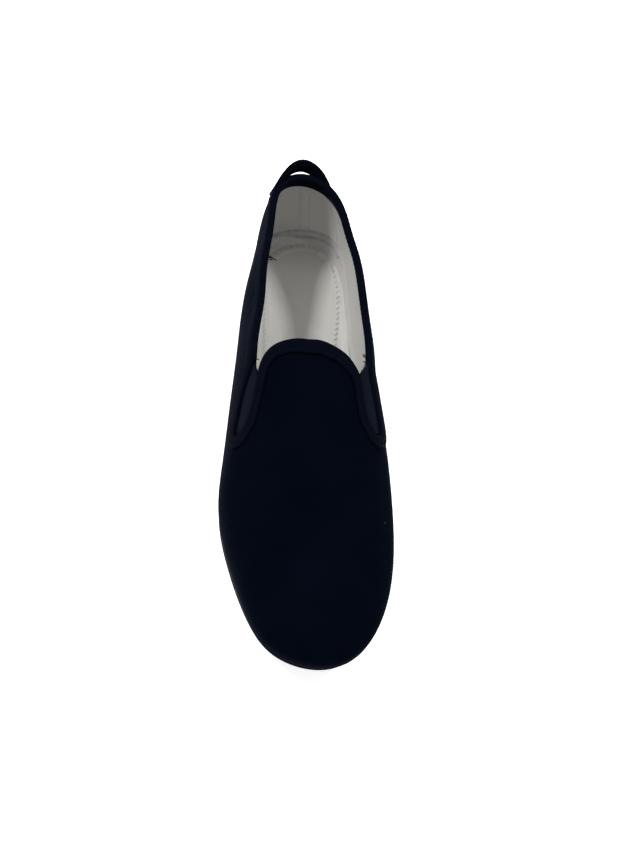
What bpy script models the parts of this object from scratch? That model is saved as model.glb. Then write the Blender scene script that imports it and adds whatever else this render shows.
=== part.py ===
"""Chinese cloth shoe, right foot, built as a shoemaker would put it together.

Metres, +Z up. The toe points to -Y and the inner side of the foot is +X. The origin is on the
floor under the middle of the heel. Every piece is worked out from one surface, the shape of the
last: a closed outline around the foot, a ridge over it, and a rounded section between the two.

A place on that surface is a pair of numbers. The turn goes once round the shoe, from the back of
the heel (0) along the inner side to the toe (pi) and back along the outer side. The level is -1 at
the edge where the upper meets the sole, 0 where the shoe is widest, and 1 on the ridge.
"""

import math

import bpy
import numpy as np
from mathutils import Vector
from mathutils.geometry import delaunay_2d_cdt

# Last
LENGTH = 0.270          # back of the heel to the tip of the toe
BALL_WIDTH = 0.090      # across the ball of the foot
HEEL_CENTRE = 0.033     # back of the heel to the middle of the heel
INSTEP_HEIGHT = 0.066   # edge of the upper to the ridge, just in front of the throat
HEEL_SEAT = 0.013       # floor to the edge of the upper, at the heel
BALL_SEAT = 0.008       # the same under the ball of the foot
TOE_SPRING = 0.008      # how much higher that edge is at the tip of the toe
HEEL_BULGE = 0.020      # height of the widest line above that edge, at the heel
TOE_BULGE = 0.009       # the same from the ball to the toe
TUCK = 0.0028           # how far the cloth turns in under its widest line

# Upper and trim
WALL = 0.0020           # outer cloth and lining together
COLLAR_HEIGHT = 0.0598  # edge of the upper to the top of the collar, at the back of the heel
SLOT_ROUND = 0.0034     # rounding at the foot of the elastic slot
CORNER_ROUND = 0.0060   # rounding at the top front corner of the quarter
TAPE = 0.0007           # thickness of the edge binding
GORE_THICKNESS = 0.0012
GORE_CLEARANCE = 0.00045
GORE_START = 0.0020     # foot of the slot to the lower end of the elastic
GORE_BACK = 0.0395      # foot of the slot to the top of the elastic, along the quarter
GORE_FRONT = 0.0330     # the same along the vamp
LOOP_WIDTH = 0.0080
LOOP_THICKNESS = 0.0011
LOOP_OUTER_END = 0.0192  # ends of the pull loop from the back of the heel, round the heel
LOOP_INNER_END = 0.0178
LOOP_RISE = 0.0078      # middle of the loop above its ends
LOOP_LEAN = 0.0012      # middle of its lower edge behind its ends
LOOP_TILT = 0.0006      # and the middle of its upper edge behind that
LOOP_DROP = 0.0052      # ends of the loop below the top of the collar
LOOP_ARCH = (1.6, 2.2)  # lower and upper edge: 2 bends it evenly, and more flattens its middle
LOOP_STAND = 3.0        # 1 makes it lean back as evenly as it rises, and more only in its middle

# Sole
INSOLE_THICKNESS = 0.0025
SOLE_MARGIN = 0.0003    # sole beyond the cloth
ARCH_RISE = 0.0022
TOE_LIFT = 0.0095       # underside of the sole off the floor at the tip of the toe
HEEL_LIFT = 0.0010      # the same at the back of the heel
TOE_ROLL = 0.0034       # how far the side of the sole leans in at the toe
TREAD_DEPTH = 0.0010
TREAD_WIDTH = 0.0018
TREAD_PITCH = 0.0085
TREAD_BORDER = 0.0090   # plain border around the tread

GAP = 0.0003            # clearance between pieces that touch on the real shoe

# Half widths of the widest line, as shares of BALL_WIDTH
SECTIONS = (
    # along the length, outer side, inner side
    (0.00, 0.031, -0.031),
    (0.03, 0.220, 0.208),
    (0.10, 0.270, 0.324),
    (0.20, 0.344, 0.346),
    (0.33, 0.396, 0.358),
    (0.45, 0.444, 0.417),
    (0.57, 0.492, 0.461),
    (0.68, 0.526, 0.474),
    (0.78, 0.480, 0.458),
    (0.88, 0.405, 0.386),
    (0.95, 0.312, 0.272),
    (1.00, 0.000, 0.000),
)

# Height of the ridge over the edge of the upper, as a share of INSTEP_HEIGHT
RIDGE = (
    # along the length, height
    (0.12, 1.160),
    (0.30, 1.130),
    (0.42, 1.000),
    (0.50, 0.866),
    (0.60, 0.712),
    (0.70, 0.576),
    (0.80, 0.470),
    (0.90, 0.380),
)

# Fullness of the section: 2 is an ellipse, and more is squarer
FULLNESS = (
    # along the length, outer side, inner side
    (0.00, 2.80, 2.80),
    (0.10, 1.95, 1.80),
    (0.20, 1.78, 2.45),
    (0.30, 1.88, 3.15),
    (0.40, 2.60, 3.10),
    (0.60, 2.55, 2.60),
    (1.00, 2.30, 2.30),
)

# Top of the collar, as a share of COLLAR_HEIGHT
COLLAR = (
    # along the length, outer side, inner side
    (0.000, 1.000, 1.000),
    (0.030, 0.936, 0.940),
    (0.080, 0.856, 0.866),
    (0.150, 0.827, 0.827),
    (0.270, 0.802, 0.817),
    (0.380, 0.807, 0.827),
    (0.450, 0.814, 0.851),
)

# Back edge and foot of the slot for the elastic
SLOT = (
    # along the length, level on the outer side, level on the inner side
    (0.467, 0.425, 0.500),
    (0.495, 0.372, 0.475),
    (0.522, 0.340, 0.448),
    (0.552, 0.310, 0.416),
    (0.572, 0.298, 0.400),
    (0.582, 0.385, 0.490),
)

# Edge of the vamp, from the slot over the shoulder to the middle of the throat
THROAT = (
    # along the length, level on the outer side, level on the inner side
    (0.555, 0.512, 0.608),
    (0.526, 0.550, 0.642),
    (0.500, 0.574, 0.655),
    (0.474, 0.590, 0.680),
    (0.453, 0.608, 0.738),
    (0.436, 0.650, 0.806),
    (0.421, 0.738, 0.892),
    (0.410, 0.872, 0.950),
    (0.403, 1.000, 1.000),
)

# Width of the binding on both faces of the cloth. Places along the opening: 0 back of the heel,
# 1 top corner of the quarter, 2 foot of the slot, 3 shoulder of the vamp, 4 middle of the throat.
BINDING = (
    # place, outside width, inside width
    (0.0, 0.0052, 0.0082),
    (0.2, 0.0050, 0.0062),
    (0.4, 0.0045, 0.0034),
    (1.0, 0.0042, 0.0026),
    (2.0, 0.0058, 0.0026),
    (2.5, 0.0042, 0.0026),
    (3.0, 0.0044, 0.0026),
    (3.6, 0.0060, 0.0030),
    (4.0, 0.0062, 0.0030),
)

RIDGE_START = 0.12      # share of the length where the ridge begins, at the heel
RIDGE_END = 0.90        # and where it ends, at the toe
RIDGE_SHIFT = -0.0060   # sideways shift of the ridge over the instep
SHIFT_RISE = (0.05, 0.45)   # stretches of the length where that shift grows and fades
SHIFT_FADE = (0.60, 0.95)
SEAT_FALL = (0.25, 0.58)    # where the edge of the upper comes down from heel to ball
SPRING_START = 0.70         # where it starts to rise to the toe
BULGE_FALL = (0.05, 0.50)   # where the widest line comes down to its height at the toe

# How fine the faceted surfaces are
TURNS = 84
FACET_SPACE = 0.0025    # least room between the binding's edge and the next corner
CORNER_STEPS = 12
LEVELS = (-0.62, -0.28, 0.08, 0.19, 0.30, 0.50, 0.68, 0.84)
RIDGE_STEPS = 29
RUN_STEPS = (20, 12, 12, 9)     # collar, back of the slot, front of the slot, throat
GORE_COLUMNS = 5
GORE_ROWS = 11
LOOP_STEPS = 24
HEEL_TURN = 0.8         # stretch round the heel on which the loop's ends are measured
HEEL_LEVEL = 0.2
HEEL_STEPS = 80

# Side of the sole, from its top edge down
SOLE_SIDE = (
    # share of the depth, distance out
    (0.00, 0.0000),
    (0.12, 0.0005),
    (0.42, 0.0006),
    (0.50, 0.0000),
    (0.58, 0.0000),
    (0.66, 0.0005),
    (0.90, 0.0001),
    (1.00, -0.0009),
)

# Flat spots of the sole and the top of the arch between them, as shares of the length
HEEL_FLAT = (0.05, 0.26)
ARCH_TOP = (0.36, 0.42)
BALL_FLAT = (0.52, 0.74)
ROLL_START = 0.80       # where the side of the sole starts to lean in at the toe

COLOURS = {
    # name: colour, roughness
    "navy_cloth": ((0.0025, 0.0035, 0.008), 0.95),
    "navy_tape": ((0.003, 0.004, 0.009), 0.90),
    "dark_elastic": ((0.007, 0.008, 0.015), 0.90),
    "white_lining": ((0.60, 0.60, 0.57), 0.90),
    "dark_rubber": ((0.010, 0.010, 0.012), 0.60),
}


def spline(places, values):
    """A smooth curve through the given places, as a function."""
    places = np.asarray(places, float)
    values = np.asarray(values, float)
    last = len(places) - 1
    step = np.diff(places)
    slope = np.diff(values) / step
    system = np.eye(last + 1)
    right = np.zeros(last + 1)
    for i in range(1, last):
        system[i, i - 1:i + 2] = step[i - 1], 2 * (step[i - 1] + step[i]), step[i]
        right[i] = 6 * (slope[i] - slope[i - 1])
    bend = np.linalg.solve(system, right)

    def curve(place):
        place = np.clip(place, places[0], places[-1])
        i = np.clip(np.searchsorted(places, place) - 1, 0, last - 1)
        b = (place - places[i]) / step[i]
        a = 1 - b
        bow = ((a ** 3 - a) * bend[i] + (b ** 3 - b) * bend[i + 1]) * step[i] ** 2 / 6
        return a * values[i] + b * values[i + 1] + bow

    return curve


def column_curve(table, column=1):
    """A smooth curve through one column of a table, along its first column."""
    rows = np.array(table)
    return spline(rows[:, 0], rows[:, column])


def turn_at(along, side=1):
    """Turn at a share of the length, on the inner side (1) or the outer side (-1)."""
    turn = np.arccos(np.clip(1 - 2 * np.asarray(along, float), -1, 1))
    return turn if side > 0 else 2 * math.pi - turn


def outline_curve():
    """Sideways place of the widest line, in metres, as a closed curve over the turn."""
    rows = np.array(SECTIONS)
    inner = np.column_stack([turn_at(rows[:, 0]), rows[:, 2]])
    outer = np.column_stack([turn_at(rows[:, 0], -1), -rows[:, 1]])[::-1]
    once = np.vstack([inner, outer[1:-1]])
    before = once[-4:] - np.array([2 * math.pi, 0])
    after = once[:4] + np.array([2 * math.pi, 0])
    knots = np.vstack([before, once, after])
    curve = spline(knots[:, 0], knots[:, 1] * BALL_WIDTH)
    return lambda turn: curve(np.mod(turn, 2 * math.pi))


def smooth(start, end, value):
    """Rises softly from 0 at the start to 1 at the end."""
    share = np.clip((value - start) / (end - start), 0, 1)
    return share * share * (3 - 2 * share)


widest_line = outline_curve()
ridge_line = column_curve(RIDGE)
outer_fullness = column_curve(FULLNESS)
inner_fullness = column_curve(FULLNESS, 2)


def along_at(turn):
    """Share of the length at a turn."""
    return (1 - np.cos(turn)) / 2


def y_at(along):
    """World Y of a share of the length."""
    return HEEL_CENTRE - along * LENGTH


def seat(along):
    """Height of the upper's lower edge above the floor."""
    drop = (BALL_SEAT - HEEL_SEAT) * smooth(*SEAT_FALL, along)
    spring = np.clip((along - SPRING_START) / (1 - SPRING_START), 0, 1) ** 2
    return HEEL_SEAT + drop + TOE_SPRING * spring


def section(turn):
    """What the shape needs to know at a turn."""
    along = along_at(turn)
    fan = RIDGE_START + (RIDGE_END - RIDGE_START) * along
    inner = np.mod(turn, 2 * math.pi) <= math.pi
    shift = RIDGE_SHIFT * smooth(*SHIFT_RISE, fan) * (1 - smooth(*SHIFT_FADE, fan))
    return {
        "along": along,
        "edge": np.stack([widest_line(turn), y_at(along)], -1),
        "ridge": np.stack([shift, y_at(fan)], -1),
        "bottom": seat(along),
        "bulge": HEEL_BULGE + (TOE_BULGE - HEEL_BULGE) * smooth(*BULGE_FALL, along),
        "top": seat(fan) + ridge_line(fan) * INSTEP_HEIGHT,
        "fullness": np.where(inner, inner_fullness(along), outer_fullness(along)),
    }


def last_point(turn, level):
    """World place of a turn and a level on the outside of the upper."""
    turn = np.asarray(turn, float)
    level = np.asarray(level, float)
    at = section(turn)
    angle = np.clip(level, 0, 1) * math.pi / 2
    reach = np.cos(angle) ** (2 / at["fullness"])
    rise = np.sin(angle) ** (2 / at["fullness"])
    low = np.clip(-level, 0, 1)
    arm = at["edge"] - at["ridge"]
    inward = -arm / np.linalg.norm(arm, axis=-1, keepdims=True)
    place = at["ridge"] + arm * reach[..., None] + inward * (TUCK * low ** 2)[..., None]
    height = at["bulge"] * (1 - low) + (at["top"] - at["bottom"] - at["bulge"]) * rise
    return np.concatenate([place, (at["bottom"] + height)[..., None]], -1)


def level_at(turn, height):
    """Level of a height above the upper's lower edge."""
    at = section(turn)
    share = (height - at["bulge"]) / (at["top"] - at["bottom"] - at["bulge"])
    upper = np.arcsin(np.clip(share, 0, 1) ** (at["fullness"] / 2)) * 2 / math.pi
    return np.where(height < at["bulge"], height / at["bulge"] - 1, upper)


def tangents(turn, level):
    """Directions of a growing turn and of a growing level."""
    small = 1e-3
    level = np.clip(level, -1 + small, 1 - 2 * small)
    by_turn = (last_point(turn + small, level) - last_point(turn - small, level)) / (2 * small)
    by_level = (last_point(turn, level + small) - last_point(turn, level - small)) / (2 * small)
    return by_turn, by_level


def unit(vectors):
    """The same directions with a length of one."""
    return vectors / np.linalg.norm(vectors, axis=-1, keepdims=True)


def outward(turn, level):
    """Direction out of the surface, level with the floor at the lower edge."""
    by_turn, by_level = tangents(turn, level)
    normal = unit(np.cross(by_level, by_turn))
    normal[..., 2] *= 1 - np.clip(-level, 0, 1)
    return unit(normal)


def offset_point(turn, level, out):
    """A place at a distance outside the surface, or inside for a negative one."""
    return last_point(turn, level) + outward(turn, level) * np.asarray(out)[..., None]


def round_corner(path, corner, size):
    """Replaces the sharp corner of a path by a curve that starts at a distance from it."""
    places = last_point(path[:, 0], path[:, 1])
    travel = travel_along(places)
    away = travel - travel[corner]
    ends = [np.array([np.interp(d, away, path[:, k]) for k in (0, 1)]) for d in (-size, size)]
    t = np.linspace(0, 1, CORNER_STEPS + 1)[:, None]
    curve = ends[0] * (1 - t) ** 2 + path[corner] * 2 * t * (1 - t) + ends[1] * t ** 2
    return np.vstack([path[away < -size], curve, path[away > size]])


def straight(start, end, steps):
    """Evenly spaced places between two."""
    t = np.linspace(0, 1, steps + 1)[:, None]
    return np.asarray(start) * (1 - t) + np.asarray(end) * t


def side_column(side):
    """Column of a table of sections that belongs to the inner side (1) or the outer side (-1)."""
    return 2 if side > 0 else 1


def collar_stations(side):
    """Top edge of the quarter, from the back of the heel to the slot."""
    along = np.linspace(0, COLLAR[-1][0], 60)
    turn = turn_at(along, side)
    height = column_curve(COLLAR, side_column(side))(along) * COLLAR_HEIGHT
    return np.column_stack([turn, level_at(turn, height)])


def throat_stations(side):
    """Edge of the vamp, which crosses the ridge square to it."""
    rows = np.array(THROAT)[:, [0, side_column(side)]]
    beyond = rows[-4:-1][::-1] * (1, -1) + (0, 2)
    rows = np.vstack([rows, beyond])
    count = len(THROAT) - 1
    place = np.linspace(0, count, 10 * count + 1)
    numbers = np.arange(len(rows))
    along, level = spline(numbers, rows[:, 0])(place), spline(numbers, rows[:, 1])(place)
    level[-1] = 1
    return np.column_stack([turn_at(along, side), level])


def opening_half(side):
    """Edge of the opening on one side, from the back of the heel to the middle of the throat."""
    collar = collar_stations(side)
    throat = throat_stations(side)
    slot = np.array(SLOT)[:, [0, side_column(side)]]
    slot[:, 0] = turn_at(slot[:, 0], side)
    back = np.vstack([collar[-1], slot[:-1]])
    numbers = np.arange(len(back))
    place = np.linspace(0, numbers[-1], 12 * numbers[-1] + 1)
    back = np.column_stack([spline(numbers, back[:, k])(place) for k in (0, 1)])
    foot = straight(back[-1], slot[-1], 12)
    front = straight(slot[-1], throat[0], 12)
    path = np.vstack([collar, back[1:], foot[1:], front[1:], throat[1:]])
    corner = len(collar) - 1
    low = corner + len(back) - 1
    for place, size in ((low + 12, SLOT_ROUND), (low, SLOT_ROUND), (corner, CORNER_ROUND)):
        path = round_corner(path, place, size)
    return path


def travel_along(places):
    """Distance along a path to each of its places."""
    return np.concatenate([[0], np.cumsum(np.linalg.norm(np.diff(places, axis=0), axis=1))])


def opening_runs(side):
    """Stations along half of the opening, closer together round the foot of the slot."""
    path = opening_half(side)
    travel = travel_along(last_point(path[:, 0], path[:, 1]))
    along = along_at(path[:, 0])
    foot = travel[np.argmax(along)]
    corner = np.interp(COLLAR[-1][0], along[travel < foot], travel[travel < foot])
    front = travel > foot
    shoulder = np.interp(-THROAT[3][0], -along[front], travel[front])
    marks = (0.0, corner, foot, shoulder, travel[-1])
    stations = []
    places = []
    for i, steps in enumerate(RUN_STEPS):
        share = np.linspace(0, 1, steps + 1)[:-1]
        if i == 1:
            share = 1 - (1 - share) ** 1.5
        if i == 2:
            share = share ** 1.5
        stations.append(marks[i] + (marks[i + 1] - marks[i]) * share)
        places.append(i + share)
    stations = np.concatenate(stations + [[travel[-1]]])
    places = np.concatenate(places + [[len(RUN_STEPS)]])
    return np.column_stack([np.interp(stations, travel, path[:, k]) for k in (0, 1)] + [places])


def opening_loop():
    """Stations around the opening, from the back of the heel along the inner side, and their places."""
    inner = opening_runs(1)
    outer = opening_runs(-1)[::-1]
    loop = np.vstack([inner, outer[1:-1]])
    return loop[:, :2], loop[:, 2]


def into_cloth(loop):
    """Direction square to the opening's edge, along the surface and into the cloth."""
    places = last_point(loop[:, 0], loop[:, 1])
    run = np.roll(places, -1, axis=0) - np.roll(places, 1, axis=0)
    return unit(np.cross(outward(loop[:, 0], loop[:, 1]), run))


def walk(stations, direction, distance):
    """Stations moved along the surface by a distance, in a few short steps."""
    moved = stations.copy()
    parts = 4
    for _ in range(parts):
        by_turn, by_level = tangents(moved[:, 0], moved[:, 1])
        for i, (a, b) in enumerate(zip(by_turn, by_level)):
            pair = np.linalg.lstsq(np.column_stack([a, b]), direction[i], rcond=None)[0]
            moved[i] += pair * distance[i] / parts
        over = moved[:, 1] > 1
        moved[over] = (2 * math.pi, 2) - moved[over]
    return moved


def beside_edge(loop, depth, out):
    """Places at a depth into the cloth from the opening's edge, and a distance outside its surface."""
    into = into_cloth(loop)
    depth = np.broadcast_to(depth, len(loop))
    out = np.full(len(loop), out)
    if depth.max() <= 0:
        return offset_point(loop[:, 0], loop[:, 1], out) + into * depth[:, None]
    moved = walk(loop, into, depth)
    return offset_point(moved[:, 0], moved[:, 1], out)


def binding_widths(places):
    """Outside and inside width of the binding at places along the opening."""
    rows = np.array(BINDING)
    return [np.interp(places, rows[:, 0], rows[:, k]) for k in (1, 2)]


def chart(turn, level):
    """A flat map of the surface, seen from above with its sides folded out."""
    at = section(turn)
    return at["ridge"] + (at["edge"] - at["ridge"]) * (1 - np.asarray(level))[..., None]


def inside_polygon(points, polygon):
    """Which points lie inside a closed outline."""
    x, y = points[:, :1], points[:, 1:]
    ax, ay = polygon[:, 0], polygon[:, 1]
    bx, by = np.roll(ax, -1), np.roll(ay, -1)
    crosses = (ay > y) != (by > y)
    reach = ax + (y - ay) * (bx - ax) / np.where(by == ay, 1e-12, by - ay)
    return (crosses & (x < reach)).sum(axis=1) % 2 == 1


def cloth_stations():
    """Turn and level of every corner of the upper's facets, with the two edges first."""
    around = np.linspace(0, 2 * math.pi, TURNS, endpoint=False)
    feather = np.column_stack([around, np.full(TURNS, -1.0)])
    loop, places = opening_loop()
    outside, inside = binding_widths(places)
    into = into_cloth(loop)
    bands = [walk(loop, into, depth) for depth in (outside / 2, outside)]
    grid = [np.column_stack([around, np.full(TURNS, level)]) for level in LEVELS]
    ridge = turn_at(np.linspace(0, 1, RIDGE_STEPS + 1)[1:-1])
    grid.append(np.column_stack([ridge, np.full(len(ridge), 1.0)]))
    grid = np.vstack(grid)
    outer_band = bands[-1]
    flat = chart(grid[:, 0], grid[:, 1])
    keep = ~inside_polygon(flat, chart(outer_band[:, 0], outer_band[:, 1]))
    points = last_point(grid[:, 0], grid[:, 1])
    band_points = last_point(outer_band[:, 0], outer_band[:, 1])
    near = np.linalg.norm(points[:, None] - band_points[None], axis=2).min(axis=1)
    grid = grid[keep & (near > FACET_SPACE)]
    return np.vstack([feather, loop] + bands + [grid]), len(loop)


def new_object(name, points, faces, material):
    """A mesh object from points and faces, with one material."""
    mesh = bpy.data.meshes.new(name)
    mesh.from_pydata([tuple(float(c) for c in p) for p in points], [], [tuple(map(int, f)) for f in faces])
    mesh.validate()
    mesh.update()
    mesh.materials.append(material)
    body = bpy.data.objects.new(name, mesh)
    bpy.context.scene.collection.objects.link(body)
    mesh.shade_smooth()
    mesh.set_sharp_from_angle(angle=math.radians(35))
    return body


def make_upper(material):
    """Vamp and quarters as one hollow wall, open at the collar, the slots and below."""
    stations, loop_count = cloth_stations()
    flat = chart(stations[:, 0], stations[:, 1])
    rings = ((0, TURNS), (TURNS, loop_count))
    edges = [(first + i, first + (i + 1) % count) for first, count in rings for i in range(count)]
    found = delaunay_2d_cdt([Vector(p) for p in flat], edges, [], 0, 1e-9)
    triangles = found[2]
    names = [origin[0] for origin in found[3]]
    loop_flat = flat[TURNS:TURNS + loop_count]
    feather_flat = flat[:TURNS]
    middles = np.array([np.mean([found[0][v] for v in f], axis=0) for f in triangles])
    keep = inside_polygon(middles, feather_flat) & ~inside_polygon(middles, loop_flat)
    faces = [[names[v] for v in f] for f, kept in zip(triangles, keep) if kept]
    outside = last_point(stations[:, 0], stations[:, 1])
    inside = offset_point(stations[:, 0], stations[:, 1], np.full(len(stations), -WALL))
    first = outside[faces[0]]
    upward = np.cross(first[1] - first[0], first[2] - first[0])
    level_out = outward(stations[faces[0], 0], stations[faces[0], 1]).mean(axis=0)
    if np.dot(upward, level_out) < 0:
        faces = [f[::-1] for f in faces]
    shift = len(stations)
    solid = [list(f) for f in faces] + [[v + shift for v in reversed(f)] for f in faces]
    used = {(f[i], f[(i + 1) % 3]) for f in faces for i in range(3)}
    for a, b in edges:
        if (a, b) in used:
            solid.append([b, a, a + shift, b + shift])
        else:
            solid.append([a, b, b + shift, a + shift])
    return new_object("upper", np.vstack([outside, inside]), solid, material)


def sweep_faces(rings, size, closed=True):
    """Faces of a body swept through rings of equal size, with ends unless it is closed."""
    faces = []
    for i in range(rings if closed else rings - 1):
        j = (i + 1) % rings
        for k in range(size):
            n = (k + 1) % size
            faces.append((i * size + k, i * size + n, j * size + n, j * size + k))
    if not closed:
        faces.append(tuple(reversed(range(size))))
        faces.append(tuple((rings - 1) * size + k for k in range(size)))
    return faces


def facing_out(points, faces):
    """The faces, turned round together if the body is inside out."""
    points = np.asarray(points)
    volume = 0.0
    for face in faces:
        a = points[face[0]]
        for k in range(1, len(face) - 1):
            volume += np.dot(a, np.cross(points[face[k]], points[face[k + 1]]))
    return faces if volume > 0 else [tuple(reversed(f)) for f in faces]


def binding_section(outside, inside):
    """Folded tape in section: depth into the cloth, distance outside its surface."""
    fold = GAP + TAPE
    under = -WALL - GAP
    half = WALL / 2 + fold
    angles = [math.radians(degrees) for degrees in (90, 45, 0, -45, -90)]
    return (
        (outside, GAP),
        (outside, fold),
        (outside / 2, fold),
        *((-fold * math.cos(a), half * math.sin(a) - WALL / 2) for a in angles),
        (inside, under - TAPE),
        (inside, under),
        (-GAP, under),
        (-GAP, GAP),
        (outside / 2, GAP),
    )


def make_binding(material):
    """Tape folded over the whole edge of the opening."""
    loop, places = opening_loop()
    profile = binding_section(*binding_widths(places))
    points = np.stack([beside_edge(loop, depth, out) for depth, out in profile], axis=1).reshape(-1, 3)
    faces = facing_out(points, sweep_faces(len(loop), len(profile)))
    return new_object("binding", points, faces, material)


def make_gore(name, side, material):
    """Elastic panel that fills the slot between quarter and vamp."""
    loop, _ = opening_loop()
    inset = walk(loop, -into_cloth(loop), np.full(len(loop), GAP + TAPE + GORE_CLEARANCE))
    foot = side * (RUN_STEPS[0] + RUN_STEPS[1])
    edges = []
    for way, length in ((-side, GORE_BACK), (side, GORE_FRONT)):
        edge = inset[foot + way * np.arange(RUN_STEPS[1] + RUN_STEPS[3])]
        travel = travel_along(last_point(edge[:, 0], edge[:, 1]))
        marks = np.linspace(GORE_START, length, GORE_ROWS)
        edges.append(np.column_stack([np.interp(marks, travel, edge[:, k]) for k in (0, 1)]))
    grid = np.array([straight(a, b, GORE_COLUMNS - 1) for a, b in zip(*edges)])
    middle = -WALL / 2
    sheets = []
    for out in (middle + GORE_THICKNESS / 2, middle - GORE_THICKNESS / 2):
        flat = grid.reshape(-1, 2)
        sheets.append(offset_point(flat[:, 0], flat[:, 1], np.full(len(flat), out)))
    points = np.vstack(sheets)
    count = len(grid)
    wide = GORE_COLUMNS
    shift = count * wide
    faces = []
    for i in range(count - 1):
        for k in range(wide - 1):
            a = i * wide + k
            quad = (a, a + 1, a + wide + 1, a + wide)
            faces.append(quad)
            faces.append(tuple(v + shift for v in reversed(quad)))
    rim = [k for k in range(wide)]
    rim += [i * wide + wide - 1 for i in range(1, count)]
    rim += [(count - 1) * wide + k for k in range(wide - 2, -1, -1)]
    rim += [i * wide for i in range(count - 2, 0, -1)]
    for i, a in enumerate(rim):
        b = rim[(i + 1) % len(rim)]
        faces.append((b, a, a + shift, b + shift))
    return new_object(name, points, facing_out(points, faces), material)


def make_loop(material):
    """Flat tape that arches over the back of the collar, with its ends on the binding."""
    rounds = np.linspace(-1, 1, LOOP_STEPS + 1)
    turns = np.linspace(-HEEL_TURN, HEEL_TURN, 2 * HEEL_STEPS + 1)
    travel = travel_along(last_point(turns, np.full(len(turns), HEEL_LEVEL)))
    travel -= travel[HEEL_STEPS]
    middle = (LOOP_INNER_END - LOOP_OUTER_END) / 2
    half = (LOOP_INNER_END + LOOP_OUTER_END) / 2
    turn = np.interp(middle + rounds * half, travel, turns)
    heights = [column_curve(COLLAR, side_column(side))(along_at(turn)) for side in (1, -1)]
    collar = np.where(turn > 0, *heights) * COLLAR_HEIGHT
    arches = [1 - np.abs(rounds) ** power for power in LOOP_ARCH]
    stand = arches[0] ** LOOP_STAND
    near = 2 * GAP + TAPE
    points = []
    for out, up in ((0, -1), (0, 1), (1, 1), (1, -1)):
        rise = up * LOOP_WIDTH / 2 - LOOP_DROP + LOOP_RISE * arches[0 if up < 0 else 1]
        level = level_at(turn, collar + np.minimum(rise, 0))
        lean = LOOP_LEAN if up < 0 else LOOP_LEAN + LOOP_TILT
        place = offset_point(turn, level, near + out * LOOP_THICKNESS + lean * stand)
        points.append(place + np.outer(np.maximum(rise, 0), (0, 0, 1)))
    points = np.stack(points, axis=1).reshape(-1, 3)
    faces = facing_out(points, sweep_faces(LOOP_STEPS + 1, 4, closed=False))
    return new_object("heel_loop", points, faces, material)


def sole_line(turn, out):
    """Plan of the upper's lower edge, moved outward by a distance."""
    edge = last_point(turn, np.full(len(turn), -1.0))
    away = outward(turn, np.full(len(turn), -1.0))
    return (edge + away * np.asarray(out)[..., None])[:, :2]


def share_at(y):
    """Share of the length at a world Y."""
    return (HEEL_CENTRE - y) / LENGTH


def underside(along):
    """Height of the sole's underside above the floor."""
    arch = smooth(HEEL_FLAT[1], ARCH_TOP[0], along) * (1 - smooth(ARCH_TOP[1], BALL_FLAT[0], along))
    toe = np.clip((along - BALL_FLAT[1]) / (1 - BALL_FLAT[1]), 0, 1) ** 1.8
    heel = np.clip((HEEL_FLAT[0] - along) / HEEL_FLAT[0], 0, 1) ** 2
    return ARCH_RISE * arch + TOE_LIFT * toe + HEEL_LIFT * heel


def cross_rows(first, count):
    """Faces that join a ring's inner side to its outer side, row by row."""
    faces = [(first, first + 1, first + count - 1)]
    for i in range(1, count // 2 - 1):
        faces.append((first + i, first + i + 1, first + count - i - 1, first + count - i))
    half = count // 2
    faces.append((first + half - 1, first + half, first + half + 1))
    return faces


def slab(name, rings, material):
    """A closed body through rings of equal size, its two ends filled with cross rows."""
    count = len(rings[0])
    points = np.vstack(rings)
    faces = []
    for r in range(len(rings) - 1):
        for i in range(count):
            n = (i + 1) % count
            a, b = r * count, (r + 1) * count
            faces.append((a + i, a + n, b + n, b + i))
    last = (len(rings) - 1) * count
    faces += [tuple(reversed(f)) for f in cross_rows(0, count)]
    faces += cross_rows(last, count)
    return new_object(name, points, facing_out(points, faces), material)


def make_outsole(material):
    """Moulded rubber sole with a grooved side, two flat spots and a raised arch."""
    turn = np.linspace(0, 2 * math.pi, TURNS, endpoint=False)
    rings = []
    for share, out in SOLE_SIDE:
        toe = smooth(ROLL_START, 1, along_at(turn))
        plan = sole_line(turn, SOLE_MARGIN + out - TOE_ROLL * share * toe)
        along = share_at(plan[:, 1])
        top = seat(along) - GAP
        height = top + (underside(along) - top) * share
        rings.append(np.column_stack([plan, height]))
    sole = slab("outsole", rings, material)
    for number, y in enumerate(tread_rows()):
        cut_groove(sole, number, y)
    return sole


def tread_rows():
    """World Y of each groove across the tread."""
    rows = []
    for start, end in (HEEL_FLAT, BALL_FLAT):
        first, last = y_at(start) - TREAD_PITCH / 2, y_at(end) + TREAD_PITCH / 2
        count = int((first - last) / TREAD_PITCH)
        spare = (first - last) - count * TREAD_PITCH
        rows += [first - spare / 2 - i * TREAD_PITCH for i in range(count + 1)]
    return rows


def cut_groove(sole, number, y):
    """Cuts one straight groove across the underside."""
    turn = turn_at(share_at(y))
    turns = np.array([turn, 2 * math.pi - turn])
    inner, outer = sole_line(turns, np.full(2, -TREAD_BORDER))[:, 0]
    bpy.ops.mesh.primitive_cube_add(size=1, location=((inner + outer) / 2, y, 0))
    cutter = bpy.context.object
    cutter.name = f"groove_{number}"
    cutter.scale = (inner - outer, TREAD_WIDTH, 2 * TREAD_DEPTH)
    cutter.hide_render = True
    cutter.display_type = "WIRE"
    cut = sole.modifiers.new(cutter.name, "BOOLEAN")
    cut.operation = "DIFFERENCE"
    cut.solver = "EXACT"
    cut.object = cutter


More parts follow.
